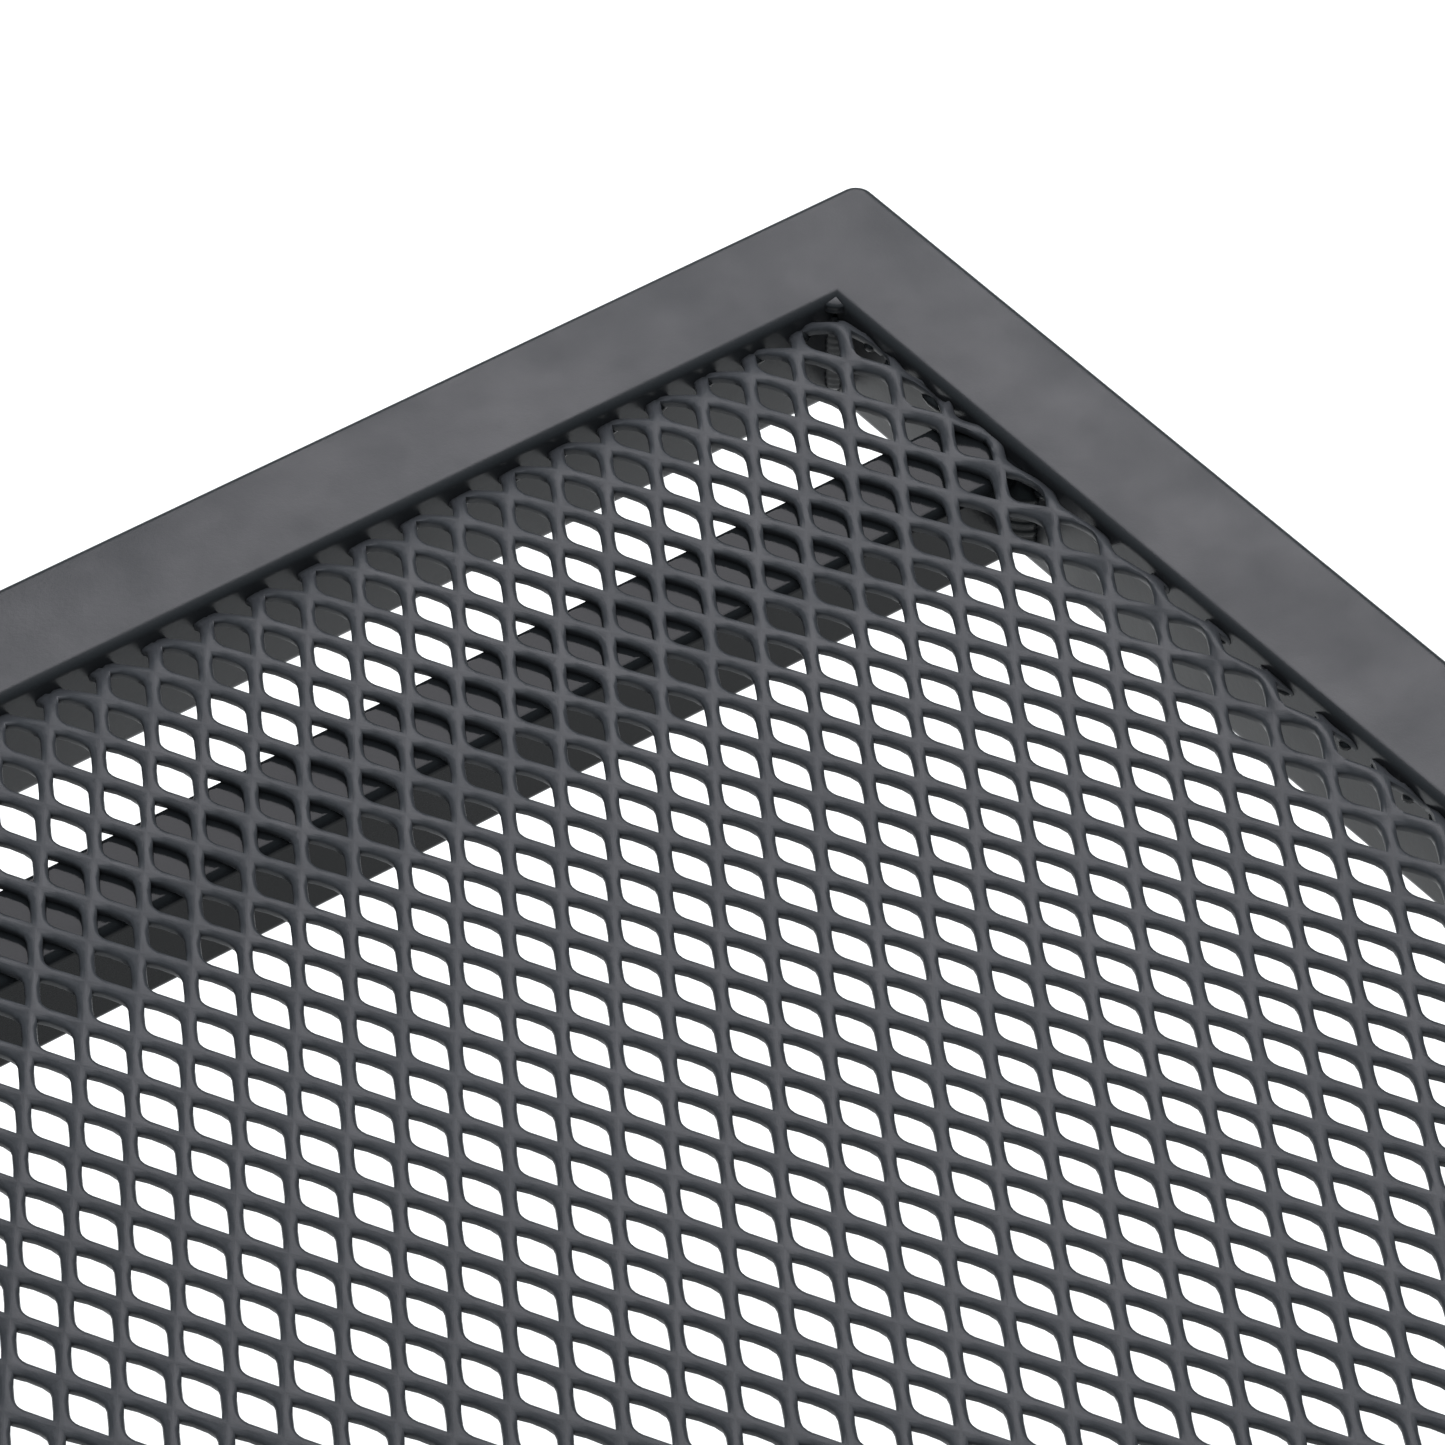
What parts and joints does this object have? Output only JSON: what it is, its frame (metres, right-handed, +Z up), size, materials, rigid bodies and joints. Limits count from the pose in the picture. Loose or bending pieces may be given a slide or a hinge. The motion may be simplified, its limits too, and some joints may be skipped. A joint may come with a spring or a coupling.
{
  "type": "mesh table top panel",
  "caption": "Square welded frame of steel tube with mitred corners, filled by an expanded-metal mesh sheet that lies on square cross tubes, with threaded leg inserts below.",
  "frame": {"origin": "centre of the panel in plan, on the plane of the rails' underside", "axes": "+Z up, out of the mesh side; +Y towards the far rail, which the cross tubes run along; +X towards the right rail. The long way of the mesh openings runs along Y."},
  "size_m": [0.4, 0.4, 0.025],
  "materials": {
    "powder_coat": "satin anthracite powder coat",
    "powder_coat_gloss": "thick glossy powder coat in the shaded lower parts",
    "zinc": "zinc plated"
  },
  "bodies": {
    "root": {"far_rail": "powder_coat", "near_rail": "powder_coat", "left_rail": "powder_coat", "right_rail": "powder_coat", "far_cross_tube": "powder_coat_gloss", "near_cross_tube": "powder_coat_gloss", "mesh_sheet": "powder_coat", "corner_weld_far_left": "powder_coat", "corner_weld_far_right": "powder_coat", "corner_weld_near_left": "powder_coat", "corner_weld_near_right": "powder_coat", "tube_weld_far_left": "powder_coat_gloss", "tube_weld_far_right": "powder_coat_gloss", "tube_weld_near_left": "powder_coat_gloss", "tube_weld_near_right": "powder_coat_gloss", "tack_welds_far": "powder_coat_gloss", "tack_welds_near": "powder_coat_gloss", "tack_welds_left": "powder_coat_gloss", "tack_welds_right": "powder_coat_gloss", "leg_insert_far_left": "zinc", "leg_insert_far_right": "zinc", "leg_insert_near_left": "zinc", "leg_insert_near_right": "zinc"}
  },
  "joints": []
}
